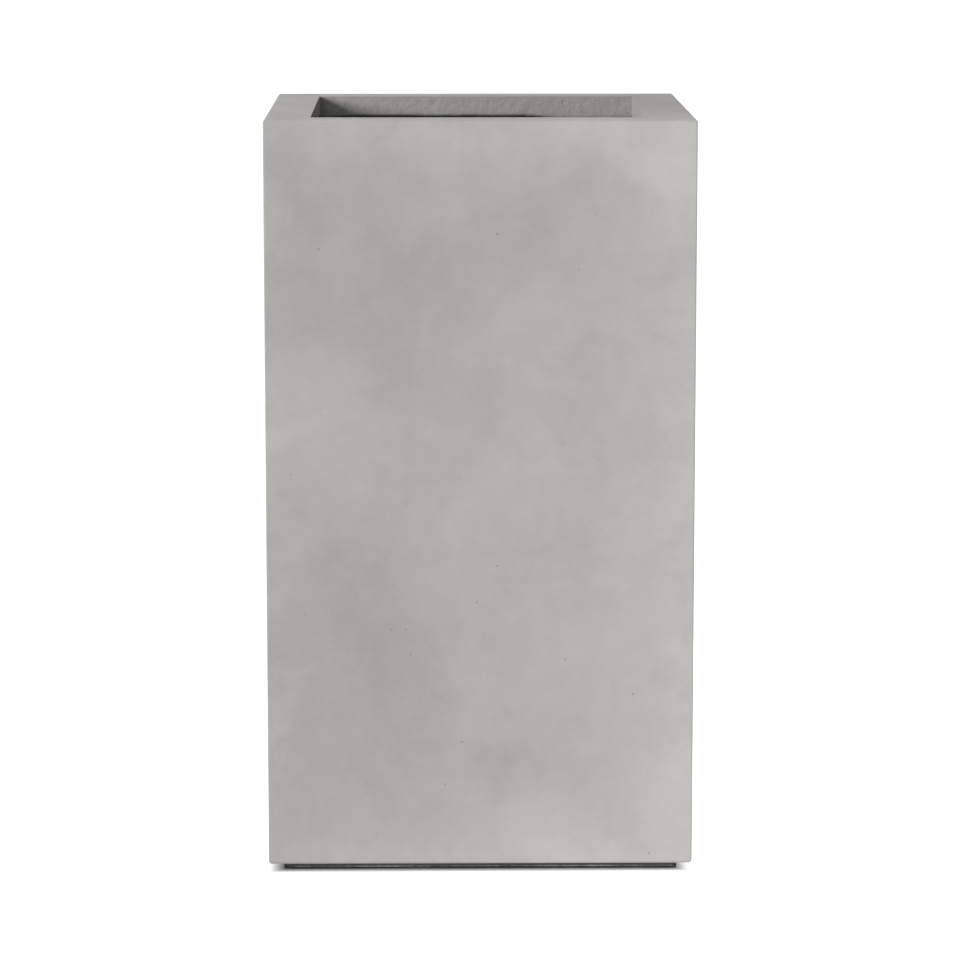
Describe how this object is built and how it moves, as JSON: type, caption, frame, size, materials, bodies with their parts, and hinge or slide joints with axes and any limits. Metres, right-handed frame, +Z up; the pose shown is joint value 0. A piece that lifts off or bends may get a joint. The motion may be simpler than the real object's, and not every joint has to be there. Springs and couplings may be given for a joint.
{
  "type": "tall fiberglass planter",
  "caption": "Tall square planter with a wide flat rim, a recessed black plinth, a drain with a plug and a removable inner shelf.",
  "frame": {"origin": "on the ground, under the middle of the planter's footprint", "axes": "+Z up along the height, +Y from the front wall to the back wall, +X from the left wall to the right wall"},
  "size_m": [0.4, 0.4, 0.71],
  "materials": {
    "cast_stone_finish": "matte",
    "plywood": "matte",
    "raw_laminate": "satin",
    "plinth_plastic": "satin",
    "fitting_plastic": "satin",
    "black_rubber": "matte",
    "shelf_plastic": "matte",
    "bracket_aluminium": "satin",
    "screw_steel": "satin"
  },
  "bodies": {
    "planter": {"outer_shell": "cast_stone_finish", "rim_batten_front": "plywood", "rim_batten_back": "plywood", "rim_batten_left": "plywood", "rim_batten_right": "plywood", "base_panel": "raw_laminate", "corner_block_front_left": "raw_laminate", "corner_block_front_right": "raw_laminate", "corner_block_back_right": "raw_laminate", "corner_block_back_left": "raw_laminate", "plinth_rail_front": "plinth_plastic", "plinth_rail_back": "plinth_plastic", "plinth_rail_left": "plinth_plastic", "plinth_rail_right": "plinth_plastic", "foot_strip_front": "black_rubber", "foot_strip_back": "black_rubber", "foot_strip_left": "black_rubber", "foot_strip_right": "black_rubber", "plinth_screw_front_left": "screw_steel", "plinth_screw_front_right": "screw_steel", "plinth_screw_back_left": "screw_steel", "plinth_screw_back_right": "screw_steel", "plinth_screw_left_front": "screw_steel", "plinth_screw_left_back": "screw_steel", "plinth_screw_right_front": "screw_steel", "plinth_screw_right_back": "screw_steel", "drain_ferrule": "fitting_plastic", "drain_gasket": "black_rubber", "drain_nut": "fitting_plastic", "shelf_bracket_front": "bracket_aluminium", "shelf_bracket_back": "bracket_aluminium", "shelf_bracket_left": "bracket_aluminium", "shelf_bracket_right": "bracket_aluminium"},
    "plug": {"drain_plug": "black_rubber"},
    "shelf": {"insert_shelf": "shelf_plastic"}
  },
  "joints": [
    {"name": "plug_lift", "type": "slide", "parent": "planter", "child": "plug", "axis": [0, 0, 1], "range_m": [0, 0.1]},
    {"name": "shelf_lift", "type": "slide", "parent": "planter", "child": "shelf", "axis": [0, 0, 1], "range_m": [0, 0.265]}
  ]
}
